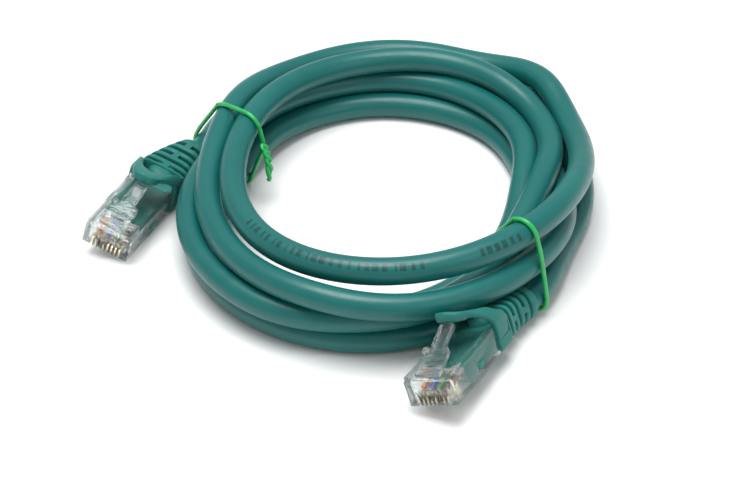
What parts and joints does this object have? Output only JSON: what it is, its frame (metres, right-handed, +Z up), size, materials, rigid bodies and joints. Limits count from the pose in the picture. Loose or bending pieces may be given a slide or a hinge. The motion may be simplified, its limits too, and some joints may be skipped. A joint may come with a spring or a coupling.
{
  "type": "ethernet patch cable",
  "caption": "Coiled network patch cable with a clear modular plug and snagless rubber boot on each end, held in a flat hank by two wire ties.",
  "frame": {"origin": "middle of the two plugs' footprint (housings, latches, boots and hoods), on the surface that the cable lies on", "axes": "+Z up from that surface; +X to the right and +Y away, with plug A at -X and plug B at +X, both noses towards -Y"},
  "size_m": [0.1212, 0.1424, 0.0244],
  "materials": {
    "clear_plastic": "clear polycarbonate, polished",
    "contact_gold": "gold plated",
    "load_bar": "natural",
    "boot": "fine matte grain",
    "jacket": "satin extruded",
    "tie": "plastic-coated wire",
    "wire_white_orange": "extruded insulation",
    "wire_orange": "extruded insulation",
    "wire_white_green": "extruded insulation",
    "wire_blue": "extruded insulation",
    "wire_white_blue": "extruded insulation",
    "wire_green": "extruded insulation",
    "wire_white_brown": "extruded insulation",
    "wire_brown": "extruded insulation"
  },
  "bodies": {
    "root": {"plug_a_housing": "clear_plastic", "plug_a_contact_1": "contact_gold", "plug_a_contact_2": "contact_gold", "plug_a_contact_3": "contact_gold", "plug_a_contact_4": "contact_gold", "plug_a_contact_5": "contact_gold", "plug_a_contact_6": "contact_gold", "plug_a_contact_7": "contact_gold", "plug_a_contact_8": "contact_gold", "plug_a_wire_1": "wire_white_orange", "plug_a_wire_2": "wire_orange", "plug_a_wire_3": "wire_white_green", "plug_a_wire_4": "wire_blue", "plug_a_wire_5": "wire_white_blue", "plug_a_wire_6": "wire_green", "plug_a_wire_7": "wire_white_brown", "plug_a_wire_8": "wire_brown", "plug_a_load_bar": "load_bar", "boot_a": "boot", "plug_b_housing": "clear_plastic", "plug_b_contact_1": "contact_gold", "plug_b_contact_2": "contact_gold", "plug_b_contact_3": "contact_gold", "plug_b_contact_4": "contact_gold", "plug_b_contact_5": "contact_gold", "plug_b_contact_6": "contact_gold", "plug_b_contact_7": "contact_gold", "plug_b_contact_8": "contact_gold", "plug_b_wire_1": "wire_white_orange", "plug_b_wire_2": "wire_orange", "plug_b_wire_3": "wire_white_green", "plug_b_wire_4": "wire_blue", "plug_b_wire_5": "wire_white_blue", "plug_b_wire_6": "wire_green", "plug_b_wire_7": "wire_white_brown", "plug_b_wire_8": "wire_brown", "plug_b_load_bar": "load_bar", "boot_b": "boot", "cable_coil": "jacket", "cable_lead_a": "jacket", "cable_lead_b": "jacket", "tie_left": "tie", "tie_right": "tie"},
    "latch_a": {"plug_a_latch": "clear_plastic"},
    "hood_a": {"boot_a_hood": "boot"},
    "latch_b": {"plug_b_latch": "clear_plastic"},
    "hood_b": {"boot_b_hood": "boot"}
  },
  "joints": [
    {"name": "hood_a_press", "type": "hinge", "parent": "root", "child": "hood_a", "pos_m": [-0.03609, 0.03392, 0.00775], "axis": [0.8853, -0.3684, -0.2838], "range_deg": [0, 11]},
    {"name": "latch_a_press", "type": "hinge", "parent": "root", "child": "latch_a", "pos_m": [-0.04509, 0.01137, 0.00893], "axis": [0.8853, -0.3684, -0.2838], "range_deg": [-11, 0]},
    {"name": "hood_b_press", "type": "hinge", "parent": "root", "child": "hood_b", "pos_m": [0.03847, -0.02201, 0.00804], "axis": [0.8307, -0.4057, 0.3812], "range_deg": [0, 11]},
    {"name": "latch_b_press", "type": "hinge", "parent": "root", "child": "latch_b", "pos_m": [0.02696, -0.04328, 0.01048], "axis": [0.8307, -0.4057, 0.3812], "range_deg": [-11, 0]}
  ],
  "couplings": [
    {"joint": "latch_a_press", "follows": "hood_a_press", "ratio": -1},
    {"joint": "latch_b_press", "follows": "hood_b_press", "ratio": -1}
  ]
}
